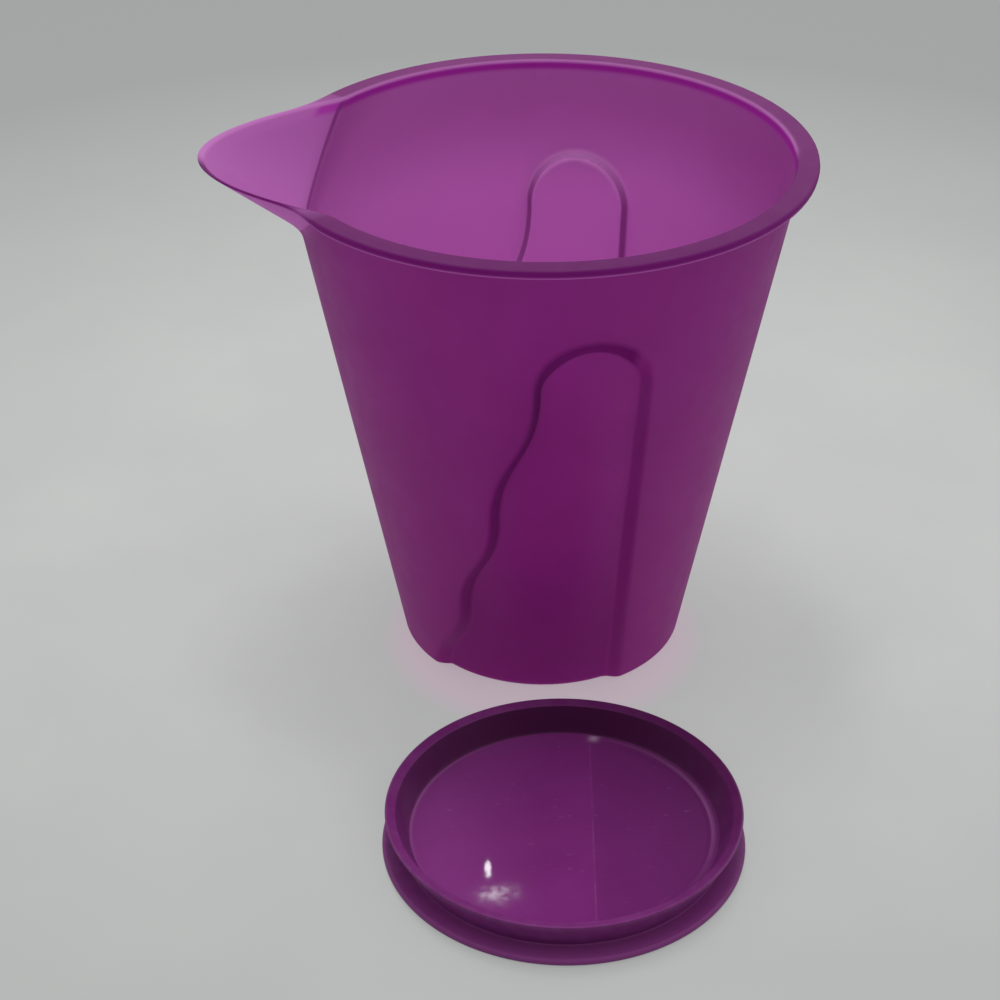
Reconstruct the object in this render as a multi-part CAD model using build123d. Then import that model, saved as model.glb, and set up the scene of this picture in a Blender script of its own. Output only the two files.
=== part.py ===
from build123d import *
import os
from math import atan, degrees, hypot, sqrt

# A flared one-piece pitcher with a pouring spout and two pressed-in grip panels, and its loose lid,
# which lies upside down on the table in front of it. Millimetres, +Z up, origin under the middle of the
# foot, spout towards -X.

# Pitcher wall
height = 150.0
foot_radius = 41.2
wall_top_radius = 69.9
wall = 1.8
floor_thickness = 2.2

# Out-turned lip, with its free edges eased
lip_overhang = 4.4
lip_height = 2.4
lip_bevel = 0.7

# Spout: a trough of parabolic section on a straight keel that rises to the tip at rim height,
# which stands out past the wall
spout_overhang = 21.0
spout_slope_share = 0.664
spout_keel_radius = 30.8
spout_wall = 1.7

# Grip panels: a round head, a straight edge away from the spout and a stepped edge towards it
grip_depth = 2.6
grip_below_rim = 27.0
grip_head_radius = 14.5
grip_head_offset = 11.8
grip_straight_foot = 21.4
grip_stepped_foot = 29.6
# Each step is an upright stretch, then a lean: heights and reaches as shares of the stepped edge
step_height_shares = (1.0, 0.575, 0.265, 0.0)
step_reach_shares = (0.0, 0.425, 0.743, 1.0)
step_lean_share = 0.5
# Bevel of the panel's rim and of the corner at its bottom, as shares of its depth
grip_rim_share = 0.42
grip_corner_share = 0.35

# Lid, measured as it lies: flange on the table, skirt up, clear of the foot by the gap. The flange's edge
# and the skirt's top stand out past the panel
lid_gap = 18.4
lid_aside = 3.2
lid_flange_width = 6.9
lid_flange_thickness = 2.0
lid_flange_bevel = 0.5
lid_panel_radius = 40.9
lid_panel_height = 4.2
lid_panel_thickness = 1.8
lid_skirt_flare = 6.4
lid_skirt_height = 12.1
lid_skirt_wall = 1.2
lid_bevel_width = 3.2
lid_bevel_drop = 0.9

# Cuts run past the solid by this much, and an edge counts as lying on a surface within the tolerance
overrun = 5.0
tolerance = 0.05

flare = (wall_top_radius - foot_radius) / height
lip_radius = wall_top_radius + lip_overhang
spout_reach = wall_top_radius + spout_overhang
lid_flange_radius = lid_panel_radius + lid_flange_width
lid_skirt_radius = lid_panel_radius + lid_skirt_flare


def flare_radius(inset, level):
    """Radius of the flared wall, moved in by inset, at a height above the table."""
    return foot_radius - inset + flare * level


def flared_plug(inset, bottom, top):
    """A solid cone that follows the flared wall, moved in by inset."""
    low = flare_radius(inset, bottom)
    high = flare_radius(inset, top)
    return Pos(0, 0, bottom) * Cone(low, high, top - bottom, align=(Align.CENTER, Align.CENTER, Align.MIN))


def grip_outline(grow):
    """A grip panel's outline seen from the front, grown by grow all round."""
    head_radius = grip_head_radius + grow
    spring = height - grip_below_rim - grip_head_radius
    lean = atan((grip_head_offset + grip_head_radius - grip_straight_foot) / spring)
    head_end = Vector(grip_head_offset, spring) + Vector(head_radius, 0).rotate(Axis.Z, -degrees(lean))
    head_start = (grip_head_offset - head_radius, spring)
    head_middle = (grip_head_offset, spring + head_radius)
    reach = grip_stepped_foot + grip_head_offset - grip_head_radius
    points = []
    for height_share, reach_share in zip(step_height_shares, step_reach_shares):
        points.append((grip_head_offset - head_radius - reach * reach_share, spring * height_share))
    edges = [ThreePointArc(head_start, head_middle, head_end)]
    for high, low in zip(points, points[1:]):
        upright = step_lean_share * (high[1] - low[1])
        edges.append(Bezier(high, (high[0], high[1] - upright), (low[0], low[1] + upright), low))
    straight_foot = (grip_straight_foot + grow, 0)
    under_stepped = (points[-1][0], -overrun)
    under_straight = (straight_foot[0], -overrun)
    edges.append(Polyline(points[-1], under_stepped, under_straight, straight_foot, head_end))
    return make_face(Curve() + edges)


def grip_edges(form, inset, bottom):
    """The edges that the two grip panels draw on a flared surface, without those at its two ends."""
    edges = []
    for edge in form.edges():
        middle = edge @ 0.5
        off_surface = hypot(middle.X, middle.Y) - flare_radius(inset, middle.Z)
        between_ends = bottom + overrun < middle.Z < height - overrun
        if abs(off_surface) < tolerance and between_ends and abs(middle.Y) > foot_radius / 2:
            edges.append(edge)
    return edges


def gripped_plug(inset, bottom, grow):
    """A flared plug with both grip panels pressed in, their rims and corners eased."""
    form = flared_plug(inset, bottom, height)
    core = flared_plug(inset + grip_depth, bottom, height)
    prism = extrude(Plane.XZ * grip_outline(grow), lip_radius)
    relief = prism & (form - core)
    form = form - relief - mirror(relief, Plane.XZ)
    form = chamfer(grip_edges(form, inset, bottom), grip_rim_share * grip_depth)
    return chamfer(grip_edges(form, inset + grip_depth, bottom), grip_corner_share * grip_depth)


def lip_disc():
    """The out-turned lip as a full disc at the top of the wall, its free edges eased."""
    disc = Cylinder(lip_radius, lip_height, align=(Align.CENTER, Align.CENTER, Align.MAX))
    return chamfer((Pos(0, 0, height) * disc).edges().filter_by(GeomType.CIRCLE), lip_bevel)


def trough(offset):
    """The spout's parabolic trough, pushed out along the keel and moved out from its inside by offset."""
    start = -foot_radius
    top = height + overrun
    along = hypot(1, spout_slope_share)
    keel = height - spout_slope_share * (spout_reach + start) - offset * along
    rise = top - keel
    half_width = sqrt(2 * (spout_keel_radius + offset) * rise)
    # A parabola's middle control point lies as far below its keel as its ends lie above
    section = Bezier((-half_width, top), (0, keel - rise), (half_width, top))
    face = make_face(section + Line(section @ 1, section @ 0))
    way = Vector(-1, 0, spout_slope_share)
    return extrude(Pos(start, 0, 0) * (Plane.YZ * face), spout_reach * along, dir=way)


def pitcher_body():
    """The whole jug as one moulding: the outer form less the space inside. Its foot is flat underneath."""
    below_rim = Box(2 * spout_reach, 2 * lip_radius, height, align=(Align.MAX, Align.CENTER, Align.MIN))
    outside = gripped_plug(0, 0, 0) + lip_disc() + (trough(spout_wall) & below_rim)
    mouth = flared_plug(wall, height - overrun, height + overrun)
    return outside - gripped_plug(wall, floor_thickness, wall) - mouth - trough(0)


def lid():
    """The lid as it lies on the table, upside down: one turned section, its flange's edge eased."""
    under_panel = lid_panel_height - lid_panel_thickness
    section = Polyline(
        (0, under_panel),
        (lid_panel_radius - under_panel, under_panel),
        (lid_panel_radius, 0),
        (lid_flange_radius, 0),
        (lid_flange_radius, lid_flange_thickness),
        (lid_panel_radius + lid_skirt_wall, lid_flange_thickness),
        (lid_skirt_radius, lid_skirt_height),
        (lid_skirt_radius - lid_bevel_width, lid_skirt_height - lid_bevel_drop),
        (lid_panel_radius, lid_panel_height),
        (0, lid_panel_height),
        close=True,
    )
    turned = revolve(Plane.XZ * make_face(section), Axis.Z)
    flange_edges = turned.edges().filter_by(GeomType.CIRCLE).sort_by(SortBy.RADIUS)[-2:]
    ahead = foot_radius + lid_gap + lid_flange_radius
    return Pos(lid_aside, -ahead, 0) * chamfer(flange_edges, lid_flange_bevel)


os.makedirs("parts", exist_ok=True)
for name, piece in (("pitcher_body", pitcher_body()), ("lid", lid())):
    export_step(piece, f"parts/{name}.step")
    print(name, round(piece.volume), "mm3")
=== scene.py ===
# %% [markdown]
# # A frosted pitcher and its loose lid
#
# The object is a flared plastic pitcher, moulded in one piece with its spout and its two grip panels, and
# a small lid that lies upside down in front of it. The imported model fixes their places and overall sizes,
# so this lesson only dresses it: it makes the two skins with all their rounded edges, then the plastics,
# then a pale table and its light. The frame is loaded first, because everything else is placed by it.

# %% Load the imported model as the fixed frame
from math import cos, pi, sin

import bpy
import numpy as np
from mathutils import Matrix, Vector


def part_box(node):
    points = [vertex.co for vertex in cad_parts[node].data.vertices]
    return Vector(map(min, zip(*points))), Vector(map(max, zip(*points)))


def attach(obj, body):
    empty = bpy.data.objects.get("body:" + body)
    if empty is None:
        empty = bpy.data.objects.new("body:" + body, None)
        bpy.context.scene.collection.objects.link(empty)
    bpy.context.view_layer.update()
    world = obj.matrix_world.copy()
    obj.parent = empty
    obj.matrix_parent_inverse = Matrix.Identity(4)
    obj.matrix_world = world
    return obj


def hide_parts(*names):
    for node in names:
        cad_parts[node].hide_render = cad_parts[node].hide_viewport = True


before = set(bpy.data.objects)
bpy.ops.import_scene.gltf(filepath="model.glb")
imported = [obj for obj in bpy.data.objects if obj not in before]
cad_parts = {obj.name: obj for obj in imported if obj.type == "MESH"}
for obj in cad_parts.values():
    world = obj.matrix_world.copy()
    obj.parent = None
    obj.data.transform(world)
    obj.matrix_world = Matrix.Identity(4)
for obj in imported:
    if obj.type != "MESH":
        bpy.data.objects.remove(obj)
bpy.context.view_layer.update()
MM = 0.001

# %% [markdown]
# ## The camera
#
# The picture was taken from in front and above with a moderate tele lens. A camera can be turned by hand
# until it looks right, but here its place, its three turns and its focal length in pixels were worked out
# from the round rims, so they are written as they came out.

# %% Camera
camera_place = Vector((-15.97, -571.58, 392.85)) * MM
camera_pitch, camera_yaw, camera_roll = 0.5537, 0.0063, -0.0058
focal_pixels, image_pixels, sensor_width = 2276, 1000, 36.0
nearest_seen = 10 * MM


def camera_axes(pitch, yaw, roll):
    """Right, up and backward as columns: a level camera turned by yaw, tipped down by pitch, and rolled."""
    forward = Vector((sin(yaw) * cos(pitch), cos(yaw) * cos(pitch), -sin(pitch)))
    level = Vector((cos(yaw), -sin(yaw), 0))
    upright = level.cross(forward)
    right = cos(roll) * level + sin(roll) * upright
    up = cos(roll) * upright - sin(roll) * level
    return Matrix((right, up, -forward)).transposed()


camera = bpy.data.objects.new("camera", bpy.data.cameras.new("camera"))
camera.data.lens = focal_pixels * sensor_width / image_pixels
camera.data.sensor_width = sensor_width
camera.data.sensor_fit = "HORIZONTAL"
camera.data.clip_start = nearest_seen
axes = camera_axes(camera_pitch, camera_yaw, camera_roll)
camera.matrix_world = Matrix.Translation(camera_place) @ axes.to_4x4()
bpy.context.scene.collection.objects.link(camera)
bpy.context.scene.camera = camera
print("lens", round(camera.data.lens, 1), "mm")

# %% [markdown]
# ## The pitcher's flared wall and its grip panels
#
# Both pieces go once round an axis, so each becomes a stack of rings: a grid of points that runs round the
# piece one way and along its section the other way. Numpy works out a whole grid at once. The pitcher's
# wall is a plain cone with a panel pressed into each side for the fingers: it has a round head, a straight
# edge away from the spout, and an edge towards the spout that steps outwards three times. A panel could be
# cut with a boolean, but then its edges stay sharp. Here it is a depth map instead: the distance inside the
# outline, seen from the front, gives a depth with a soft rim and a crisp corner at the bottom. One formula
# makes both panels, because it uses only the front view's x and the height.

# %% Sizes of the wall and the panels, in millimetres
body_low, body_high = (np.array(corner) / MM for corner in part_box("pitcher_body"))
height, lip_radius = body_high[2], body_high[1]
foot_radius, wall_top_radius = 41.2, 69.9
wall, floor_thickness = 1.8, 2.2
flare = (wall_top_radius - foot_radius) / height

grip_depth, grip_below_rim = 2.6, 27.0
head_radius, head_offset = 14.5, 11.8
straight_foot, stepped_foot = 21.4, 29.6
step_height_shares = np.array((1.0, 0.575, 0.265, 0.0))
step_reach_shares = np.array((0.0, 0.425, 0.743, 1.0))
spring = height - grip_below_rim - head_radius

# How far a panel's sloping side reaches outwards and inwards from its outline: along the stepped edge, over
# the head, along the straight edge, and all round on the wall's inner face, where the panel stands raised
stepped_outside, stepped_inside = 2.2, 0.8
head_outside, head_inside, head_turn_share = 3.3, 2.6, 0.8
straight_outside, straight_inside, straight_narrowing = 1.0, 2.6, 1.4
raised_outside, raised_inside = 0.9, 0.7
press_square, press_cube = 1.6, 0.6
step_samples, small_step = 60, 0.2
print("panel head springs at", round(spring, 1), "mm, flare", round(flare, 4))


# %% The panel's outline
def flare_radius(inset, level):
    """Radius of the flared wall moved in by inset: the foot's radius plus the flare times the height."""
    return foot_radius - inset + flare * level


def stepped_edge(level):
    """Front-view x of the stepped edge. Each step from one knot to the next is a cubic curve whose two
    handles stand upright and are half as long as the step is high."""
    share = np.linspace(0, 1, step_samples)
    lean = share**2 * (3 - 2 * share)
    fall = share * (1.5 - 1.5 * share + share**2)
    across = head_offset - head_radius - (stepped_foot + head_offset - head_radius) * step_reach_shares
    down = spring * step_height_shares
    x = across[:-1, None] + np.diff(across)[:, None] * lean
    z = down[:-1, None] + np.diff(down)[:, None] * fall
    return np.interp(level, z.ravel()[::-1], x.ravel()[::-1])


def straight_edge(level):
    """Front-view x of the straight edge, on a line from the foot to the side of the head."""
    return straight_foot + (head_offset + head_radius - straight_foot) * level / spring


print("stepped edge at the foot", stepped_edge(0).round(1), "mm, straight edge", straight_foot, "mm")


# %% The panel's depth
def smooth_step(low, high, value):
    """0 up to low, 1 from high on, with an S-shaped change between. The other way round it falls."""
    share = np.clip((value - low) / (high - low), 0, 1)
    return share * share * (3 - 2 * share)


def mixed(first, second, share):
    """A value between two, by share."""
    return first + (second - first) * share


def panel_place(x, level):
    """Where a point of the front view lies: its distance inside the outline, how much the edge beside it is
    the straight one, and how much it is the top of the head, both from 0 to 1."""
    left_rise = stepped_edge(level + small_step) - stepped_edge(level - small_step)
    left_lean = left_rise / (2 * small_step)
    right_lean = (head_offset + head_radius - straight_foot) / spring
    from_left = (x - stepped_edge(level)) / np.hypot(1, left_lean)
    from_right = (straight_edge(level) - x) / np.hypot(1, right_lean)
    from_middle = np.hypot(x - head_offset, level - spring)
    reach = np.maximum(from_middle, small_step)
    distance = np.where(level < spring, np.minimum(from_left, from_right), head_radius - from_middle)
    right_of_head = smooth_step(0, 1, (x - head_offset) / reach)
    rightness = np.where(level < spring, from_right < from_left, right_of_head)
    over_head = smooth_step(0, head_turn_share, (level - spring) / reach)
    return distance, rightness, over_head


def panel_share(x, level, inside):
    """How far a point lies across the panel's sloping side, from 0 at the rim to 1 at the corner below: the
    distance inside the outline over the width of the slope, which changes round the panel."""
    distance, rightness, over_head = panel_place(x, level)
    wide = straight_inside - straight_narrowing * np.clip(level / spring, 0, 1)
    outer = mixed(stepped_outside, straight_outside, rightness)
    outer = mixed(mixed(outer, head_outside, over_head), raised_outside, inside)
    deeper = mixed(stepped_inside, wide, rightness)
    deeper = mixed(mixed(deeper, head_inside, over_head), raised_inside, inside)
    return (distance + outer) / (outer + deeper)


def pressed_share(x, level, inside):
    """How far a point is pressed in, from 0 to 1: a square less a cube, slow at the rim and quick below."""
    share = np.clip(panel_share(x, level, inside), 0, 1)
    return share**2 * (press_square - press_cube * share)


print("pressed in at the head's middle", pressed_share(head_offset, spring, 0), "of", grip_depth, "mm")

# %% [markdown]
# ## The spout
#
# The spout is a trough of parabolic section on a straight keel that climbs to the tip at rim height. For a
# ring at one height we need the distance from the axis to the trough in each direction. On a line out from
# the axis the trough's height is a quadratic in that distance, so the distance is a root of it. The wall
# and the spout then join by taking the larger radius, with the crossing filled a little. The spout's inner
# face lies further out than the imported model's, because the real spout is thin at its pouring edge.

# %% The spout's trough and the two faces of the wall
spout_slope, keel_radius, spout_wall = 0.664, 30.8, 1.7
keel_lean = np.hypot(1, spout_slope)
spout_reach = -body_low[0] - spout_wall * keel_lean / spout_slope
outer_blend, inner_blend, lip_blend = 3.0, 1.6, 4.5
spout_thinning, edge_thinning, edge_depth = 0.6, 0.4, 3.0


def trough_radius(angle, level, offset):
    """Distance out from the axis to the trough, moved outwards by offset: the root of curve r^2 + slope r +
    start = 0, where start is the keel's height on the axis less the ring's height."""
    toward, across = -np.cos(angle), np.sin(angle)
    curve = across**2 / (2 * (keel_radius + offset))
    slope = spout_slope * toward
    start = height - spout_slope * spout_reach - offset * keel_lean - level
    root = np.sqrt(np.maximum(slope**2 - 4 * curve * start, 0))
    ahead = (toward > 0) & (start < 0)
    return np.where(ahead, -2 * start / np.where(ahead, slope + root, 1), 0)


def spout_radius(angle, level, inside):
    """Distance out to the spout's outer or inner face. The inner one thins the spout towards its edge."""
    thinned = spout_thinning + edge_thinning * smooth_step(height - edge_depth, height, level)
    return trough_radius(angle, level, np.where(inside, thinned, spout_wall))


def smooth_max(first, second, blend):
    """The larger of two values, with the corner where they cross filled over the width blend."""
    overlap = np.maximum(blend - np.abs(first - second), 0) / blend
    return np.maximum(first, second) + overlap**2 * blend / 4


def wall_radius(angle, level, inside):
    """Radius of the wall's outer face (inside 0) or inner face (inside 1), panels and spout included."""
    plain = flare_radius(wall * inside, level)
    pressed = plain - grip_depth * pressed_share(plain * np.cos(angle), level, inside)
    return smooth_max(pressed, spout_radius(angle, level, inside), inner_blend if inside else outer_blend)


print("spout reaches", round(spout_reach, 1), "mm from the axis inside")

# %% [markdown]
# ## Columns that follow the panels
#
# A depth map is only as crisp as its grid. Instead of making the whole grid finer, the columns are bent so
# that a close bunch of them runs along the stepped edge and another along the straight one. Each column
# has a home angle at the head's height, and a hat-shaped weight says how far it moves along with an edge.

# %% Columns of the grid
edge_band, spout_side = np.radians(3.2), np.radians(140)
right_home = np.arccos(straight_edge(spring) / flare_radius(0, spring))
left_home = np.arccos(stepped_edge(spring) / flare_radius(0, spring))
column_marks = (0, right_home - edge_band, right_home + edge_band, left_home - edge_band)
column_marks += (left_home + edge_band, spout_side, pi)
column_counts = (18, 13, 28, 13, 18, 38)
column_runs = zip(column_marks, column_marks[1:], column_counts)
half_turn = np.concatenate([np.linspace(a, b, n, endpoint=False) for a, b, n in column_runs] + [[pi]])
along_right = np.interp(half_turn, (0, *column_marks[1:4]), (0, 1, 1, 0))
along_left = np.interp(half_turn, (*column_marks[2:5], pi), (0, 1, 1, 0))


def column_angles(level, inside):
    """Angle of every column at every height: its home angle, moved along with the panel's two edges, and
    the same again mirrored for the other side of the pitcher."""
    below = np.clip(level, 0, spring)
    plain = flare_radius(wall * inside, below)
    right = np.arccos(straight_edge(below) / plain) - right_home
    left = np.arccos(stepped_edge(below) / plain) - left_home
    half = half_turn + along_right * right + along_left * left
    return np.concatenate([half, -half[:, -2:0:-1]], axis=1)


print("columns", 2 * len(half_turn) - 2)

# %% [markdown]
# ## The pitcher's whole skin
#
# The section of the skin starts under the middle of the foot, goes out to the rounded foot edge, up the
# outside, under and round the lip, over the top, down the inside and back to the middle of the floor. At
# the spout the lip's overhang fades to nothing, so the same rings make the thin pouring edge. Rows of
# points lie closer where the shape turns quickly: over the panel's head, at the lip and near the mouth.

# %% Rings of the foot and of the outside
foot_edge = 0.7
arc_steps, flat_rows, smallest_share = 7, 7, 0.03
close_low, close_high = 100, 126
lip_height, lip_fillet = 2.4, 0.9
quarter = np.linspace(0, pi / 2, arc_steps)[:, None]
flat_shares = np.linspace(smallest_share, 1, flat_rows)[:, None]
under_lip = height - lip_height - lip_fillet


def ring_points(radius, angle, level):
    """Points of rings from radius, angle and height, which may be grids or columns of a grid."""
    radius, angle, level = np.broadcast_arrays(radius, angle, level)
    return np.stack([radius * np.cos(angle), radius * np.sin(angle), level], axis=-1)


def stacked(*runs):
    """Values as a column, from runs that each have a start, an end and a number of even steps."""
    rows = [np.linspace(start, end, steps, endpoint=False) for start, end, steps in runs]
    return np.concatenate(rows + [[runs[-1][1]]])[:, None]


def wall_rings(level, inside, shift=0.0, share=1.0):
    """Rings on a face of the wall, moved outwards by shift and drawn in towards the axis by share."""
    angle = column_angles(level, inside)
    return ring_points((wall_radius(angle, level, inside) + shift) * share, angle, level)


underside = wall_rings(np.zeros((flat_rows, 1)), 0, -foot_edge, flat_shares)
foot = wall_rings(foot_edge * (1 - np.cos(quarter[1:])), 0, foot_edge * (np.sin(quarter[1:]) - 1))
outside_runs = ((foot_edge, close_low, 78), (close_low, close_high, 46), (close_high, under_lip, 14))
outside = wall_rings(stacked(*outside_runs)[1:], 0)
print("rings under the foot", len(underside), "round its edge", len(foot), "and outside", len(outside))

# %% Rings of the lip
lip_low_edge, lip_top_edge = 0.5, 1.0
lip_side_rows = 3
lip_reach = lip_radius - wall_top_radius
rim_angle = column_angles(np.full((1, 1), height), 0)
rim_wall = wall_radius(rim_angle, height, 0)
overhang = smooth_max(rim_wall, lip_radius, lip_blend) - rim_wall
fillet_out, fillet_up = lip_fillet * (1 - np.cos(quarter[1:])), lip_fillet * (np.sin(quarter[1:]) - 1)
edge_out, edge_up = lip_low_edge * (np.sin(quarter) - 1), lip_low_edge * (1 - np.cos(quarter))
side_out = np.full((lip_side_rows, 1), lip_reach)
side_up = np.linspace(lip_low_edge - lip_height, -lip_top_edge, lip_side_rows + 1)[1:, None]
lip_shares = np.concatenate([fillet_out, lip_reach + edge_out, side_out]) / lip_reach
lip_levels = height + np.concatenate([fillet_up - lip_height, edge_up - lip_height, side_up])
lip = ring_points(wall_radius(rim_angle, lip_levels, 0) + lip_shares * overhang, rim_angle, lip_levels)
print("lip overhang from", overhang.min().round(2), "to", overhang.max().round(2), "mm")


# %% Rings of the rim's top
def edge_drop(distance, radius):
    """How far a rounded edge lies below its face, at a distance in from the edge: a quarter circle."""
    short = np.maximum(radius - distance, 0)
    return radius - np.sqrt(np.maximum(radius**2 - short**2, 0))


mouth_edge = 0.5
across_rim = stacked((0, 0.2, 6), (0.2, 0.9, 6), (0.9, 1, 6))[1:]
mouth_angle = rim_angle + across_rim * (column_angles(np.full((1, 1), height), 1) - rim_angle)
rim_width = wall_radius(mouth_angle, height, 0) + overhang - wall_radius(mouth_angle, height, 1)
from_edge = across_rim * rim_width
rim_level = height - edge_drop(from_edge, lip_top_edge) - edge_drop(rim_width - from_edge, mouth_edge)
rim = ring_points(wall_radius(mouth_angle, rim_level, 0) + overhang - from_edge, mouth_angle, rim_level)
print("rim from", rim_width.min().round(2), "to", rim_width.max().round(2), "mm wide")

# %% Rings of the inside and of the floor
floor_corner = 3.0
below_mouth, above_head, inside_head = height - 4, 130, 128
inner_floor = floor_thickness + floor_corner
inside_runs = ((height - mouth_edge, below_mouth, 12), (below_mouth, above_head, 22))
inside_runs += ((above_head, inside_head, 1), (inside_head, close_low, 34), (close_low, inner_floor, 42))
inside = wall_rings(stacked(*inside_runs)[1:], 1)
corner_level = floor_thickness + floor_corner * (1 - np.sin(quarter[1:]))
corner = wall_rings(corner_level, 1, floor_corner * (np.cos(quarter[1:]) - 1))
floor_level = np.full((flat_rows, 1), floor_thickness)
floor = wall_rings(floor_level, 1, -floor_corner, flat_shares[::-1])[1:]
stretches = (underside, foot, outside, lip, rim, inside, corner, floor)
rings = np.concatenate(stretches)
print("rings in all", len(rings))

# %% [markdown]
# ## What the plastic needs to know
#
# Light tells the eye a lot about a thin frosted wall: it is deeper where there is more plastic to cross, as
# in the lip, and paler in the thin spout. Some light and shade are painted into the colour as well. So
# seven numbers are kept for each point: how thick the plastic is, with painted shade on the rim's near side
# and low on the panels, where pale lines of painted light run along the edges, how much painted light
# brightens the inner face, how far the spout's trough lies past the wall, how far the point lies across a
# panel's sloping side and how dark its painted shade is, and the deep band behind the lip. Such zones could
# be painted onto the mesh by hand, but these come from the formulas of the shape itself, so they stay in
# place when a size changes. They change smoothly, and the material sets the limits.

# %% Where each point lies
stretch_of = np.repeat(np.arange(len(stretches)), [len(stretch) for stretch in stretches])[:, None]
outside_number, lip_number, rim_number, inside_number = 2, 3, 4, 5
on_outside, on_lip = stretch_of == outside_number, stretch_of == lip_number
on_rim, on_inside = stretch_of == rim_number, stretch_of == inside_number
inner = stretch_of > lip_number
level, angle = rings[..., 2], np.arctan2(rings[..., 1], rings[..., 0])
plain = flare_radius(wall * inner, level)
front_x = plain * np.cos(angle)
print("points on the outside", int(on_outside.sum()) * rings.shape[1])

# %% Numbers for the panels, with the painted shade on their sides, and the spout
# Pairs are limits, mostly in millimetres, and single numbers are shares
straight_band, straight_dark = (5, 2.2), 0.16
faint_share, foot_fade = 0.35, (6, 40)
raised_dark, raised_head_relief = 0.62, 0.35
low_panel_shade_share, low_panel_shade_levels, past_corner = 0.45, (75, 15), (0.9, 1.3)
widest_past_wall, widest_across = 14, (-1, 2)

across_panel = panel_share(front_x, level, inner).clip(*widest_across)
toward_straight = smooth_step(*straight_band, straight_edge(level) - front_x)
# Painted shade: the panels' sloping sides are darkened, most along the stepped edge and over the head,
# fading towards the foot, and inside along the raised outline
stepped_dark = mixed(faint_share, 1, np.clip(level / spring, 0, 1))
stepped_dark = stepped_dark * mixed(faint_share, 1, smooth_step(*foot_fade, level))
outside_dark = mixed(stepped_dark, straight_dark, toward_straight)
inside_dark = raised_dark - raised_head_relief * smooth_step(0, 1, (level - spring) / head_radius)
panel_edge_painted_shade = outside_dark * on_outside + inside_dark * on_inside
in_panel = smooth_step(*past_corner, across_panel) * on_outside
# Painted shade: the low middle of each pressed panel is darkened with the thick plastic's colour
low_panel_painted_shade = low_panel_shade_share * in_panel * smooth_step(*low_panel_shade_levels, level)
past_wall = (spout_radius(angle, level, inner) - plain).clip(-widest_past_wall, widest_past_wall)
print("panel side's darkness up to", panel_edge_painted_shade.max().round(2))

# %% Numbers for the lip, the rim and the pouring edge
lip_foot = height - lip_height
band_below, band_above, band_end = 0.8, 0.6, (4.5, 3)
lip_top_share, lip_top_shade_swing = 0.66, 0.34
near_side_depth = (2, -8)
low_line_height, low_line_width = 0.3, 0.35
mouth_line_down, mouth_line_across, pouring_line = 0.25, 0.5, 0.9


def bell(distance):
    """1 at no distance, falling off on both sides as a bell curve."""
    return np.exp(-(distance**2))


lip_share = smooth_step(0, 1, overhang / lip_reach)
behind_lip = smooth_step(lip_foot - band_below, lip_foot + band_above, level) * on_inside
behind_lip = behind_lip * smooth_step(*band_end, past_wall)
# Painted shade: the rim's top is darker on the near side than on the far side
lip_top = lip_share * (lip_top_share - lip_top_shade_swing * np.sin(angle)) * on_rim
near_side = smooth_step(*near_side_depth, rings[..., 1])
pouring_edge = (1 - lip_share) * on_rim
# Thick plastic in the lip, together with painted shade on the rim's near side, on the near side of the
# pouring edge and low on the panels
thick_and_painted_shade = np.maximum.reduce([lip_share * on_lip, lip_top, pouring_edge * near_side, low_panel_painted_shade])
# Painted light: pale lines of glow along the lip's lower edge, along the mouth's edge and on the far side
# of the pouring edge
low_line = bell((level - lip_foot - low_line_height) / low_line_width) * on_lip * lip_share
mouth_line = bell((height - mouth_edge - level) / mouth_line_down) * on_inside
mouth_line[on_rim[:, 0]] = bell((rim_width - from_edge) / mouth_line_across)
pouring_edge[on_rim[:, 0]] *= bell(from_edge / pouring_line)
edge_painted_glow = np.maximum.reduce([low_line, mouth_line * (1 - near_side), pouring_edge * (1 - near_side)])
print("thick plastic in", (thick_and_painted_shade > 0.5).sum(), "points, thin edges in", (edge_painted_glow > 0.5).sum())

# %% Number for the inner face and its painted light
# Painted light: the inner face is tinted pale for light that goes to and fro inside, less so near the rim,
# and painted shade darkens its far side and its spout side
inner_top_share, inner_depths = 0.58, (8, 40)
far_side_painted_shade, spout_side_painted_shade, side_power = 0.55, 0.32, 3
from_rim = height - level
inner_face_painted_light = mixed(inner_top_share, 1, smooth_step(*inner_depths, from_rim)) * (stretch_of > rim_number)
side_painted_shade = np.where(np.cos(angle) > 0, far_side_painted_shade, spout_side_painted_shade)
inner_face_painted_light = inner_face_painted_light * (1 - side_painted_shade * np.abs(np.cos(angle)) ** side_power)
print("inner face shows up to", inner_face_painted_light.max().round(2))

# %% [markdown]
# ## From rings to a mesh
#
# The grid of points still needs faces: quads between neighbouring rings, and a fan of triangles at each end
# on one more point, which closes the skin. Faces could be added one at a time, but numpy gives the corner
# numbers of all of them at once, and foreach_set hands them to Blender in one go. Each number that is kept
# for the points becomes an attribute of the mesh, which a material can read.


# %% Faces over a grid of points
def skin_faces(count, columns):
    """Corner numbers of the quads between rings, and of the fans that close both ends on one point each."""
    index = np.arange(count * columns).reshape(count, columns)
    after = np.roll(index, -1, axis=1)
    first, last = count * columns, count * columns + 1
    quads = np.stack([index[:-1], after[:-1], after[1:], index[1:]], axis=-1).reshape(-1, 4)
    under = np.stack([np.full(columns, first), after[0], index[0]], axis=-1)
    over = np.stack([np.full(columns, last), index[-1], after[-1]], axis=-1)
    return quads, np.concatenate([under, over])


def with_ends(grid):
    """A grid as one list, followed by the means of its first and last rings, for the two closing points."""
    return np.concatenate([grid.reshape(-1, *grid.shape[2:]), grid[[0, -1]].mean(axis=1)])


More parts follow.
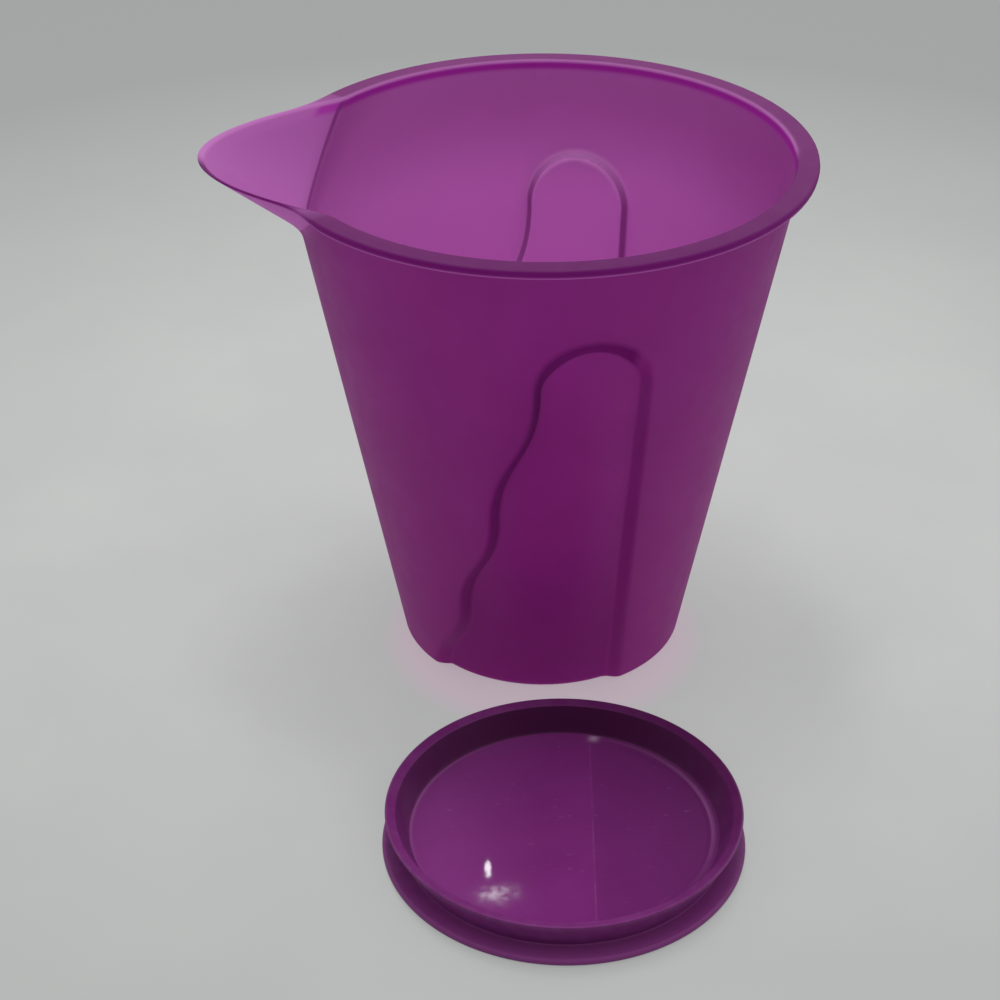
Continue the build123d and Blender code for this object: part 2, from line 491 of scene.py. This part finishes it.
def skin_mesh(name, rings, traits):
    """A closed skin over rings of points. traits are named numbers for each point, for its material."""
    quads, fans = skin_faces(*rings.shape[:2])
    points = with_ends(rings) * MM
    corners = np.concatenate([quads.ravel(), fans.ravel()])
    starts = np.concatenate([4 * np.arange(len(quads)), quads.size + 3 * np.arange(len(fans))])
    mesh = bpy.data.meshes.new(name)
    mesh.vertices.add(len(points))
    mesh.vertices.foreach_set("co", points.astype(np.float32).ravel())
    mesh.loops.add(len(corners))
    mesh.loops.foreach_set("vertex_index", corners.astype(np.int32))
    mesh.polygons.add(len(starts))
    mesh.polygons.foreach_set("loop_start", starts.astype(np.int32))
    mesh.update(calc_edges=True)
    mesh.shade_smooth()
    for trait_name, values in traits.items():
        attribute = mesh.attributes.new(trait_name, "FLOAT", "POINT")
        attribute.data.foreach_set("value", with_ends(values).astype(np.float32))
    return mesh


print("quads and triangles in the pitcher's skin", [len(faces) for faces in skin_faces(*rings.shape[:2])])


# %% The pitcher's piece
def add_piece(mesh, body, node):
    """Puts a finished mesh into the scene in place of a node, riding on its body."""
    piece = bpy.data.objects.new(mesh.name, mesh)
    bpy.context.scene.collection.objects.link(piece)
    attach(piece, body)
    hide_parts(node)
    lowest, highest = np.array(piece.bound_box).min(axis=0), np.array(piece.bound_box).max(axis=0)
    print(piece.name, len(mesh.polygons), "faces, size in mm", ((highest - lowest) / MM).round(1))


pitcher_traits = {"thick_and_painted_shade": thick_and_painted_shade, "edge_painted_glow": edge_painted_glow, "inner_face_painted_light": inner_face_painted_light, "past_wall": past_wall}
pitcher_traits |= {"across_panel": across_panel, "panel_edge_painted_shade": panel_edge_painted_shade, "behind_lip": behind_lip}
pitcher_mesh = skin_mesh("pitcher_shell", rings, pitcher_traits)
add_piece(pitcher_mesh, "pitcher", "pitcher_body")

# %% [markdown]
# ## The lid
#
# The lid lies upside down. Its section is a short line of corners turned about an axis: the flange on the
# table, the flared skirt that stands up from it, the skirt's bevelled top, and the sunken panel. Each
# corner is rounded by an arc before the section is turned. A Screw modifier could turn it, but the panel
# isn't quite true: it is folded a little along one crease and stepped by a hair near its edge, and on a
# grid of points both are simply added to the heights.

# %% Corners of the lid's section
lid_low, lid_high = (np.array(corner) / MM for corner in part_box("lid"))
lid_centre = (lid_low + lid_high) / 2
lid_radius, skirt_height = (lid_high[0] - lid_low[0]) / 2, lid_high[2]
panel_radius, panel_height, panel_thickness = 40.9, 4.2, 1.8
skirt_radius, skirt_wall, flange_thickness = 47.3, 1.2, 2.0
bevel_width, bevel_drop = 3.2, 0.9
under_panel = panel_height - panel_thickness

# Each corner's radius and height, and the radius of the arc that rounds it
lid_corners = (
    ((0, under_panel), None),
    ((panel_radius - under_panel, under_panel), 1.0),
    ((panel_radius, 0), 0.5),
    ((lid_radius, 0), 0.7),
    ((lid_radius, flange_thickness), 0.8),
    ((panel_radius + skirt_wall, flange_thickness), 0.3),
    ((skirt_radius, skirt_height), 0.45),
    ((skirt_radius - bevel_width, skirt_height - bevel_drop), 0.5),
    ((panel_radius, panel_height), 0.7),
    ((0, panel_height), None),
)
print("lid", round(2 * lid_radius, 1), "mm across and", round(skirt_height, 1), "mm tall")

# %% Rounded section of the lid
corner_steps, flat_steps = 6, 5
centre_gap, under_reach, panel_reach = 0.4, 36, 39.5
under_points, panel_points = 9, 84


def rounded_corner(before, corner, after, radius):
    """Points of an arc that rounds a corner between two straight runs of a section."""
    corner, runs = np.array(corner), [np.array(end) - np.array(corner) for end in (before, after)]
    one, two = (run / np.hypot(*run) for run in runs)
    half = np.arccos(np.clip(one @ two, -1, 1)) / 2
    centre = corner + (one + two) / np.hypot(*(one + two)) * radius / np.sin(half)
    start, end = (corner + way * radius / np.tan(half) - centre for way in (one, two))
    swing = np.arctan2(start[0] * end[1] - start[1] * end[0], start @ end) * np.linspace(0, 1, corner_steps)
    turned = np.stack([-start[1], start[0]])
    return centre + np.cos(swing)[:, None] * start + np.sin(swing)[:, None] * turned


corner_places = [place for place, _ in lid_corners]
corner_sets = zip(corner_places, lid_corners[1:-1], corner_places[2:])
arcs = [rounded_corner(before, place, after, radius) for before, (place, radius), after in corner_sets]
under_out = np.linspace(centre_gap, under_reach, under_points)
panel_out = np.linspace(panel_reach, centre_gap, panel_points)
under_run = np.stack([under_out, np.full(under_points, under_panel)], axis=-1)
panel_run = np.stack([panel_out, np.full(panel_points, panel_height)], axis=-1)
flat_runs = [np.linspace(a[-1], b[0], flat_steps)[1:-1] for a, b in zip(arcs, arcs[1:])]
section_runs = [under_run]
for arc, run in zip(arcs, flat_runs + [panel_run]):
    section_runs += [arc, run]
section = np.concatenate(section_runs)
print("points in the lid's section", len(section))

# %% The lid's grid, its crease and its ring step
lid_columns = 360
crease_top, crease_foot = np.array((8.67, 39.74)), np.array((7.26, -33.78))
fold_slope, ring_step_radius, ring_step, ring_step_half = 0.006, 38.3, 0.12, 0.3
arc_lap = 2

lid_angle = np.linspace(0, 2 * pi, lid_columns, endpoint=False)[None, :]
lid_rings = ring_points(section[:, :1], lid_angle, section[:, 1:])
lid_x, lid_y = lid_rings[..., 0].copy(), lid_rings[..., 1].copy()
lid_out = np.hypot(lid_x, lid_y)
# The last straight runs are the bevel, the dish's wall and the panel, each with arcs before and after it
run_lengths = np.array([len(run) for run in section_runs])
bevel_start, dish_start, panel_start = (np.cumsum(run_lengths) - run_lengths)[-5::2]


def zone(first, end):
    """1 for the section's points from one index up to another, as a column, and 0 elsewhere."""
    index = np.arange(len(section))[:, None]
    return ((index >= first) & (index < end)).astype(float)


on_bevel = zone(bevel_start - arc_lap, dish_start - arc_lap)
in_dish = zone(dish_start - arc_lap, panel_start - arc_lap)
on_panel = zone(panel_start - 1, len(section))
crease_way = (crease_foot - crease_top) / np.hypot(*(crease_foot - crease_top))
from_crease = (lid_x - crease_top[0]) * -crease_way[1] + (lid_y - crease_top[1]) * crease_way[0]
fold = fold_slope * np.maximum(from_crease, 0) * (1 - (lid_out / panel_radius) ** 2).clip(0, 1)
step_from, step_to = ring_step_radius + ring_step_half, ring_step_radius - ring_step_half
sunken = ring_step * smooth_step(step_from, step_to, lid_out)
lid_rings[..., 2] -= on_panel * (fold + sunken)
lid_rings += np.array((lid_centre[0], lid_centre[1], 0))
print("panel sinks by up to", (on_panel * (fold + sunken)).max().round(2), "mm")

# %% [markdown]
# ## Marks on the lid
#
# The lid's other marks are numbers for its material: how polished a point is, how deep in painted shade
# the dish and the bevel lie, the distance from the crease, which sets a painted reflection on either side,
# a spot whitened by bending at the crease's top, a pale line of painted highlight at the panel's sides,
# and painted light on the front of the flange. One small patch of the panel is bent enough to show the
# lamp, and the hazy patch below it shows it broken up. Bending the grid that far would make a visible bump,
# so a number says how far the material tilts the surface there instead.

# %% Numbers for the lid, and the piece
glint_place, glint_spread = (-20, -15.3), (1.6, 5.6)
glow_place, glow_spread, glow_strength = (-17.6, -25.2), (6.5, 4.6), 0.74
haze_place, haze_spread = (-17, -25.5), (5.5, 5.5)
stress_place, stress_spread, stress_strength = (9.6, 38.2), (0.9, 0.9), 0.45
dish_dark, dish_dark_back = 0.45, 0.55
bevel_dark, bevel_dark_right, bevel_turn = 0.18, 0.57, 0.4
flange_margin_in, flange_margin_up, flange_power = 0.5, 0.4, 1.5
highlight_radius, highlight_shift, highlight_width = 39.8, 0.6, 0.35
highlight_left, highlight_right, highlight_power = 2.7, 0.35, 4


def spot(place, spread_out):
    """A spot on the lid, 1 in its middle and falling off as a bell curve over its spread in x and in y."""
    across, along = (lid_x - place[0]) / spread_out[0], (lid_y - place[1]) / spread_out[1]
    return np.exp(-(across**2 + along**2) / 2)


bend = np.maximum(spot(glint_place, glint_spread), glow_strength * spot(glow_place, glow_spread))
# Painted shade: the dish's inner wall, most at its back, and the bevel, most on its right, are darkened
bevel_shade = bevel_dark + bevel_dark_right * np.cos(lid_angle - bevel_turn).clip(0, 1)
dish_and_bevel_shade = in_dish * (dish_dark + dish_dark_back * np.sin(lid_angle).clip(0, 1)) + on_bevel * bevel_shade
on_flange = section[:, :1] > panel_radius + skirt_wall - flange_margin_in
on_flange = on_flange & (section[:, 1:] < flange_thickness + flange_margin_up)
# Painted light: the front of the flange is tinted paler
flange_painted_light = on_flange * (-np.sin(lid_angle)).clip(0, 1) ** flange_power
# Painted highlight: a pale line just inside the panel's rim, on its left and right sides
highlight_sides = np.maximum(np.cos(lid_angle - highlight_left), np.cos(lid_angle - highlight_right))
highlight_sides = highlight_sides.clip(0, 1) ** highlight_power
ring_painted_highlight = bell((lid_out - highlight_radius + highlight_shift * np.cos(lid_angle)) / highlight_width) * highlight_sides
lid_traits = {"polish": np.broadcast_to(on_panel, lid_x.shape), "dish_and_bevel_shade": dish_and_bevel_shade, "from_crease": from_crease}
lid_traits |= {"flange_painted_light": flange_painted_light, "ring_painted_highlight": ring_painted_highlight * on_panel, "bend": bend * on_panel}
lid_traits |= {"stress": stress_strength * spot(stress_place, stress_spread) * on_panel}
lid_traits |= {"haze": spot(haze_place, haze_spread) * on_panel}
lid_mesh = skin_mesh("loose_lid", lid_rings, lid_traits)
add_piece(lid_mesh, "lid", "lid")

# %% [markdown]
# ## The plastics
#
# Both pieces are the same purple plastic. The pitcher's wall is thin and frosted: part of the light bounces
# off its matt face and part comes through from the other side, so its material mixes an ordinary plastic
# with a translucent one. A rough glass of real thickness could do this too, but it takes far more samples
# to render clean. The lid is thicker and hardly lets light through, and its panel is polished. Fine grain,
# faint flow lines and scuffs are noise patterns read in object coordinates, at their real size.


# %% Helpers that add nodes
def add_node(tree, kind, inputs, **settings):
    """Adds a node with its settings. An input, given by name or number, is linked to a socket or set."""
    node = tree.nodes.new(kind)
    for setting, value in settings.items():
        setattr(node, setting, value)
    for name, value in inputs.items():
        if isinstance(value, bpy.types.NodeSocket):
            tree.links.new(value, node.inputs[name])
        else:
            node.inputs[name].default_value = value
    return node


def trait(tree, name):
    """The number that a skin keeps for each point under that name."""
    return add_node(tree, "ShaderNodeAttribute", {}, attribute_name=name).outputs["Fac"]


def noise(tree, place, grain, detail=2.0, stretch=(1, 1, 1)):
    """A noise pattern with blobs about grain millimetres across, drawn out along each axis by stretch."""
    scale = [1 / (grain * MM * s) for s in stretch]
    mapped = add_node(tree, "ShaderNodeMapping", {"Vector": place, "Scale": scale}).outputs["Vector"]
    inputs = {"Vector": mapped, "Scale": 1, "Detail": detail}
    return add_node(tree, "ShaderNodeTexNoise", inputs).outputs["Fac"]


def spread(tree, value, low, high, start=0.0, end=1.0):
    """Maps low..high of a value to start..end, held at the ends. Inputs 1 to 4 are those four numbers."""
    inputs = {"Value": value, 1: low, 2: high, 3: start, 4: end}
    return add_node(tree, "ShaderNodeMapRange", inputs).outputs["Result"]


# %% Helpers that combine numbers and colours
def number(tree, operation, first, second):
    """One number from two, by a named operation such as ADD."""
    return add_node(tree, "ShaderNodeMath", {0: first, 1: second}, operation=operation).outputs["Value"]


def product(tree, first, second):
    """Two numbers multiplied."""
    return number(tree, "MULTIPLY", first, second)


def between(tree, value, start, full, still, end):
    """A ridge: 0 up to start, 1 from full to still, and 0 again from end."""
    return product(tree, spread(tree, value, start, full), spread(tree, value, still, end, 1, 0))


def tint(tree, share, first, second):
    """A colour between two, by share. Either colour may be the output of another node. Inputs 6 and 7 and
    output 2 are the mixing node's colours."""
    first, second = ((*colour, 1) if isinstance(colour, tuple) else colour for colour in (first, second))
    inputs = {"Factor": share, 6: first, 7: second}
    return add_node(tree, "ShaderNodeMix", inputs, data_type="RGBA").outputs[2]


# %% [markdown]
# ## The frosted purple
#
# Each trait of the skin tints two colours at once: that of the matt face, and that of the light which comes
# through. The wall is deep in the lip, and painted a little paler low down, where the table lights it.
# Painted shade darkens the panels' sides, the spout's root and the low middle of the panels, and painted
# light makes the inside palest, where light goes to and fro between the walls, and lines the edges.

# %% Colours of the pitcher
# Painted light: the paler low wall, the pale inner face and the pale edge lines. Painted shade: the dark
# root, the panels' sides, and part of the thick plastic's colour
wall_purple, wall_purple_deep = (0.235, 0.020, 0.198), (0.215, 0.017, 0.18)
low_painted_light_purple, inner_painted_light_purple, spout_purple = (0.33, 0.038, 0.255), (0.96, 0.36, 0.93), (0.46, 0.122, 0.445)
band_purple, root_shade_purple, side_shade_purple = (0.44, 0.02, 0.42), (0.15, 0.01, 0.14), (0.10, 0.006, 0.092)
thick_and_shade_purple, edge_glow_purple = (0.132, 0.012, 0.123), (0.62, 0.24, 0.60)
through_purple, through_deep, through_spout = (0.72, 0.19, 0.67), (0.69, 0.175, 0.64), (0.82, 0.36, 0.79)
through_band, through_side_shade = (0.66, 0.08, 0.62), (0.42, 0.06, 0.40)
through_thick_and_shade, through_edge_glow = (0.55, 0.08, 0.53), (0.92, 0.45, 0.88)
# Grains are in millimetres, low_levels in metres, limits in the unit of what they limit
plastic_ior, cloud_limits = 1.5, (0.35, 0.65)
cloud_grain, flow_grain, flow_stretch, flow_limits, flow_share = 22, 1.2, (1, 1, 30), (0.55, 0.8), 0.35
low_levels, spout_limits = (0.125, 0.04), (-0.1, 0.4)
# Painted shade: a dark line and a soft shade along the spout's root, inside
root_shade_line_limits, root_shade_line_share = (-0.9, -0.2, 0.1, 0.5), 0.85
root_shade_limits, root_shade_share, inner_enough = (-9, -0.2, 0, 0.3), 0.42, 0.5
side_limits = (0.05, 0.42, 0.85, 1.02)
print("colours of the face and of the light through it", wall_purple, through_purple)


# %% Tints of the frosted plastic
def root_share(tree, limits, most):
    """How much of a painted shade line or a soft painted shade along the spout's root shows. It shows on
    the inner face only.
    """
    along_root = between(tree, trait(tree, "past_wall"), *limits)
    return product(tree, along_root, spread(tree, trait(tree, "inner_face_painted_light"), 0, inner_enough, 0, most))


def panel_side_shade(tree):
    """How much the painted shade on a panel's sloping side shows."""
    return product(tree, between(tree, trait(tree, "across_panel"), *side_limits), trait(tree, "panel_edge_painted_shade"))


def frosted_colours(tree, place):
    """The face's colour and that of the light which comes through, tinted by one trait after the other."""
    clouds = spread(tree, noise(tree, place, cloud_grain, detail=3), *cloud_limits)
    flow = noise(tree, place, flow_grain, stretch=flow_stretch)
    flow = spread(tree, flow, *flow_limits, 0, flow_share)
    heights = add_node(tree, "ShaderNodeSeparateXYZ", {"Vector": place}).outputs["Z"]
    face = tint(tree, clouds, wall_purple, wall_purple_deep)
    face = tint(tree, flow, face, wall_purple_deep)
    # Painted light: the wall is tinted paler low down, where the table lights it
    face = tint(tree, spread(tree, heights, *low_levels), face, low_painted_light_purple)
    # Painted light: the inner face is tinted towards a pale purple
    face = tint(tree, trait(tree, "inner_face_painted_light"), face, inner_painted_light_purple)
    light = tint(tree, clouds, through_purple, through_deep)
    tints = (
        (spread(tree, trait(tree, "past_wall"), *spout_limits), spout_purple, through_spout),
        (trait(tree, "behind_lip"), band_purple, through_band),
        # Painted shade along the spout's root
        (root_share(tree, root_shade_limits, root_shade_share), root_shade_purple, through_thick_and_shade),
        (root_share(tree, root_shade_line_limits, root_shade_line_share), root_shade_purple, through_thick_and_shade),
        # Painted shade on the panels' sloping sides
        (panel_side_shade(tree), side_shade_purple, through_side_shade),
        # Thick plastic and painted shade
        (trait(tree, "thick_and_painted_shade"), thick_and_shade_purple, through_thick_and_shade),
        # Painted light along the edges
        (trait(tree, "edge_painted_glow"), edge_glow_purple, through_edge_glow),
    )
    for share, face_colour, light_colour in tints:
        face = tint(tree, share, face, face_colour)
        light = tint(tree, share, light, light_colour)
    return face, light


# %% Frosted plastic of the pitcher
through_share, inner_through_share = 0.5, 0.38
wall_gloss, thick_gloss, side_gloss_share, inner_gloss_share = 0.4, 0.15, 0.2, 0.55
matt_grain, matt_limits, matt_roughness = 6, (0.3, 0.7), (0.38, 0.5)
frost_grain, frost_strength, frost_depth = 0.35, 0.12, 0.1


def new_material(name):
    """A material with an empty node tree."""
    material = bpy.data.materials.new(name)
    material.use_nodes = True
    material.node_tree.nodes.clear()
    return material


def grained(tree, place, grain, strength, depth, normal=None):
    """A surface normal with a fine grain on it, starting from the skin's own normal or from a given one."""
    inputs = {"Strength": strength, "Distance": depth * MM, "Height": noise(tree, place, grain)}
    if normal is not None:
        inputs["Normal"] = normal
    return add_node(tree, "ShaderNodeBump", inputs).outputs["Normal"]


def mixed_shaders(tree, share, first, second):
    """Two shaders mixed by share and put on the surface."""
    both = add_node(tree, "ShaderNodeMixShader", {"Fac": share, 1: first, 2: second}).outputs["Shader"]
    add_node(tree, "ShaderNodeOutputMaterial", {"Surface": both})


def frosted_purple():
    """Frosted plastic: a matt face mixed with light from behind, with a fine grain, and less glossy inside
    and where the plastic is thick."""
    material = new_material("frosted_purple")
    tree = material.node_tree
    place = add_node(tree, "ShaderNodeTexCoord", {}).outputs["Object"]
    face, light = frosted_colours(tree, place)
    inner_here = trait(tree, "inner_face_painted_light")
    gloss = spread(tree, trait(tree, "thick_and_painted_shade"), 0, 1, wall_gloss, thick_gloss)
    gloss = product(tree, gloss, spread(tree, panel_side_shade(tree), 0, 1, 1, side_gloss_share))
    gloss = product(tree, gloss, spread(tree, inner_here, 0, 1, 1, inner_gloss_share))
    roughness = spread(tree, noise(tree, place, matt_grain, detail=4), *matt_limits, *matt_roughness)
    normal = grained(tree, place, frost_grain, frost_strength, frost_depth)
    inputs = {"Base Color": face, "Roughness": roughness, "IOR": plastic_ior, "Normal": normal}
    inputs["Specular IOR Level"] = gloss
    surface = add_node(tree, "ShaderNodeBsdfPrincipled", inputs).outputs["BSDF"]
    through = add_node(tree, "ShaderNodeBsdfTranslucent", {"Color": light}).outputs["BSDF"]
    share = spread(tree, inner_here, 0, 1, through_share, inner_through_share)
    mixed_shaders(tree, share, surface, through)
    return material


pitcher_mesh.materials.append(frosted_purple())
print("pitcher wears", pitcher_mesh.materials[0].name)

# %% [markdown]
# ## The lid's plastic
#
# The lid has the same purple without the frosting: satin outside and polished on the panel. Its marks could
# be painted, but each has its number already, so the material only mixes in one colour for each. Where the
# panel is bent, the surface normal is tilted before the grain goes onto it, and noise makes the tilt uneven
# in the hazy patch, which breaks up the lamp's glint.

# %% Colours of the lid
lid_purple, lid_purple_deep, lid_shade = (0.185, 0.025, 0.172), (0.165, 0.021, 0.152), (0.062, 0.005, 0.05)
# This line holds painted reflection colours for the two sides of the crease and painted light for the
# flange
lid_painted_shade, lid_painted_light, flange_light_purple = (0.115, 0.018, 0.11), (0.23, 0.045, 0.22), (0.268, 0.055, 0.248)
# The scuffs' pale colour also paints the highlight line round the panel
crease_pale, stress_white, scuff_and_highlight_pale = (0.28, 0.09, 0.27), (0.75, 0.55, 0.75), (0.32, 0.12, 0.30)
lid_cloud_grain, crease_grain, scuff_grain, scuff_stretch = 18, 4, 1.1, (2, 1.3, 1)
crease_limits, crease_noise, crease_shares = (-0.5, -0.15, -0.05, 0.05), (0.4, 0.65), (0.05, 0.35)
shade_step, shade_step_share, shade_reach, shade_share = 0.3, 0.3, 25, 0.7
light_limits, light_share, highlight_share = (-12, -40), 0.7, 0.8
scuff_limits, scuff_share = (0.65, 0.78), 0.3


def lid_colours(tree, place):
    """The lid's colour: painted reflection darker past the crease and lighter far beyond it, with pale
    marks.
    """
    polished = trait(tree, "polish")
    past_crease = product(tree, trait(tree, "from_crease"), polished)
    crease_strength = spread(tree, noise(tree, place, crease_grain), *crease_noise, *crease_shares)
    crease = product(tree, between(tree, past_crease, *crease_limits), crease_strength)
    scuffs = noise(tree, place, scuff_grain, detail=5, stretch=scuff_stretch)
    scuffs = spread(tree, scuffs, *scuff_limits, 0, scuff_share)
    clouds = spread(tree, noise(tree, place, lid_cloud_grain, detail=3), *cloud_limits)
    face = tint(tree, clouds, lid_purple, lid_purple_deep)
    tints = (
        # Painted reflection: darker past the crease and lighter far on its other side
        (spread(tree, past_crease, 0, shade_step, 0, shade_step_share), lid_painted_shade),
        (spread(tree, past_crease, 0, shade_reach, 0, shade_share), lid_painted_shade),
        (spread(tree, past_crease, *light_limits, 0, light_share), lid_painted_light),
        (crease, crease_pale),
        (trait(tree, "stress"), stress_white),
        # Painted highlight round the panel; the same pale colour serves the real scuffs below
        (spread(tree, trait(tree, "ring_painted_highlight"), 0, 1, 0, highlight_share), scuff_and_highlight_pale),
        # Painted light on the flange's front
        (trait(tree, "flange_painted_light"), flange_light_purple),
        # Painted shade in the dish and on the bevel
        (trait(tree, "dish_and_bevel_shade"), lid_shade),
        (product(tree, scuffs, polished), scuff_and_highlight_pale),
    )
    for share, colour in tints:
        face = tint(tree, share, face, colour)
    return face


print("colour of the lid", lid_purple)

# %% Plastic of the lid
satin_gloss, polished_gloss, satin_roughness, haze_roughness = 0.14, 0.5, 0.25, 0.17
smudge_grain, smudge_limits, smudge_roughness = 9, (0.35, 0.7), (0.07, 0.15)
lid_grain, lid_grain_strength, lid_grain_depth = 0.5, 0.1, 0.08
bend_tilt, wobble_grain, wobble_limits, wobble_size = (-0.02, -0.302, 0), 2.4, (0.3, 0.7), 0.3


def bent_normal(tree, coordinates):
    """The lid's own normal, tilted where the panel is bent, and unevenly so in the hazy patch."""
    place, haze = coordinates["Object"], trait(tree, "haze")
    wobble = noise(tree, place, wobble_grain, detail=3)
    wobble = spread(tree, wobble, *wobble_limits, -wobble_size, wobble_size)
    uneven = spread(tree, product(tree, wobble, haze), -1, 1, 0, 2)
    tilt = product(tree, trait(tree, "bend"), uneven)
    inputs = {0: tilt, 1: bend_tilt, 2: coordinates["Normal"]}
    bent = add_node(tree, "ShaderNodeVectorMath", inputs, operation="MULTIPLY_ADD").outputs["Vector"]
    return add_node(tree, "ShaderNodeVectorMath", {0: bent}, operation="NORMALIZE").outputs["Vector"]


def lid_plastic():
    """Dense plastic, satin on the skirt and flange and polished on the panel, with one hazy patch."""
    material = new_material("lid_purple")
    tree = material.node_tree
    coordinates = add_node(tree, "ShaderNodeTexCoord", {}).outputs
    place, polished = coordinates["Object"], trait(tree, "polish")
    smudges = spread(tree, noise(tree, place, smudge_grain, detail=4), *smudge_limits, *smudge_roughness)
    roughness = number(tree, "ADD", smudges, spread(tree, polished, 0, 1, satin_roughness, 0))
    hazy = spread(tree, trait(tree, "haze"), 0, 1, 0, haze_roughness)
    roughness = number(tree, "ADD", roughness, hazy)
    normal = bent_normal(tree, coordinates)
    normal = grained(tree, place, lid_grain, lid_grain_strength, lid_grain_depth, normal)
    inputs = {"Base Color": lid_colours(tree, place), "Roughness": roughness, "IOR": plastic_ior}
    inputs["Specular IOR Level"] = spread(tree, polished, 0, 1, satin_gloss, polished_gloss)
    inputs["Normal"] = normal
    surface = add_node(tree, "ShaderNodeBsdfPrincipled", inputs).outputs["BSDF"]
    add_node(tree, "ShaderNodeOutputMaterial", {"Surface": surface})
    return material


lid_mesh.materials.append(lid_plastic())
print("lid wears", lid_mesh.materials[0].name)

# %% [markdown]
# ## Table and light
#
# The pieces stand on a plain pale table, which is only a stage and no part of the object. A grey background
# could stand in for it, but then nothing would take the soft shadows. More than half of what is seen of it
# is its own even tone, so that it stays pale under a light shadow. Its paint holds painted light, pink
# round the front of the foot, where light comes through the plastic, and painted shade, greyer far away.
# One narrow lamp hangs overhead and a little behind.
# The sky is brightest behind and above, and near the horizon it takes the table's far tone, so that the
# table has no visible end.

# %% Table
table_half, table_drop = 6.0, 0.3 * MM
table_mesh = bpy.data.meshes.new("table")
table_signs = ((-1, -1), (1, -1), (1, 1), (-1, 1))
table_corners = [(x * table_half, y * table_half, -table_drop) for x, y in table_signs]
table_mesh.from_pydata(table_corners, [], [(0, 1, 2, 3)])
table = bpy.data.objects.new("table", table_mesh)
bpy.context.scene.collection.objects.link(table)
print("table", 2 * table_half, "m wide")

# %% Paint of the table
table_grey, table_grey_soft = (0.541, 0.555, 0.545), (0.521, 0.531, 0.526)
# The far grey is painted shade and the pink is painted light
table_far_shade_grey, table_pink_light = (0.36, 0.37, 0.365), (0.75, 0.50, 0.66)
table_cloud_grain, even_share = 60, 0.6
pale_middle, far_limits = (0, 0.06, 0), (0.15, 0.42)
pink_middle, pink_limits, pink_share = (0, -0.012, 0), (0.04, 0.049), 0.42


def measure(tree, operation, vector, fixed):
    """One number from a vector and a fixed one: their DISTANCE, or their DOT_PRODUCT."""
    node = add_node(tree, "ShaderNodeVectorMath", {0: vector, 1: fixed}, operation=operation)
    return node.outputs["Value"]


def table_paint():
    """Pale matt paint with the faintest clouds, painted greyer far from the middle as shade and painted
    pink round the foot's front as light, part of it an even tone wherever it is seen directly, in a
    reflection or through something."""
    material = new_material("table_paint")
    tree = material.node_tree
    place = add_node(tree, "ShaderNodeTexCoord", {}).outputs["Object"]
    clouds = spread(tree, noise(tree, place, table_cloud_grain, detail=3), *cloud_limits)
    # Painted shade: greyer far from the middle. Painted light: pink round the front of the foot
    far = spread(tree, measure(tree, "DISTANCE", place, pale_middle), *far_limits)
    pink = spread(tree, measure(tree, "DISTANCE", place, pink_middle), *pink_limits, pink_share, 0)
    paint = tint(tree, clouds, table_grey, table_grey_soft)
    paint = tint(tree, far, paint, table_far_shade_grey)
    paint = tint(tree, pink, paint, table_pink_light)
    surface = add_node(tree, "ShaderNodeBsdfDiffuse", {"Color": paint}).outputs["BSDF"]
    even = add_node(tree, "ShaderNodeEmission", {"Color": paint}).outputs["Emission"]
    ray = add_node(tree, "ShaderNodeLightPath", {}).outputs
    seen = number(tree, "MAXIMUM", ray["Is Camera Ray"], ray["Is Glossy Ray"])
    seen = number(tree, "MAXIMUM", seen, ray["Is Transmission Ray"])
    mixed_shaders(tree, spread(tree, seen, 0, 1, 0, even_share), surface, even)
    return material


table_mesh.materials.append(table_paint())
print("table wears", table_mesh.materials[0].name)

# %% Sky
horizon_low, horizon_high = 0.08, 0.16
sky_dark, sky_bright, sky_turn = 0.12, 1.3, -0.3
sky_way = Vector((0.15, 0.6, 0.77)).normalized()
world = bpy.data.worlds.new("sky")
world.use_nodes = True
sky = world.node_tree
direction = add_node(sky, "ShaderNodeTexCoord", {}).outputs["Generated"]
graded = spread(sky, measure(sky, "DOT_PRODUCT", direction, sky_way), sky_turn, 1, sky_dark, sky_bright)
climb = measure(sky, "DOT_PRODUCT", direction, (0, 0, 1))
above = spread(sky, climb, horizon_low, horizon_high)
below = spread(sky, climb, horizon_low, horizon_high, table_far_shade_grey[0], 0)
sky_level = number(sky, "ADD", product(sky, graded, above), below)
background = sky.nodes["Background"]
sky.links.new(sky_level, background.inputs["Strength"])
background.inputs["Color"].default_value = (1, 1, 1, 1)
bpy.context.scene.world = world
print("sky from", sky_dark, "to", sky_bright)

# %% Lamp
lamp_place, lamp_width, lamp_length, lamp_power = Vector((-0.06, 0.21, 1.2)), 0.16, 0.4, 3.8
lamp = bpy.data.objects.new("lamp", bpy.data.lights.new("lamp", "AREA"))
lamp.data.shape = "RECTANGLE"
lamp.data.size, lamp.data.size_y = lamp_width, lamp_length
lamp.data.energy = lamp_power
lamp.location = lamp_place
lamp.rotation_euler = (-lamp_place).to_track_quat("-Z", "Y").to_euler()
bpy.context.scene.collection.objects.link(lamp)
bpy.context.scene.view_settings.view_transform = "Standard"
print("lamp", lamp_power, "W at", [round(v, 2) for v in lamp_place])
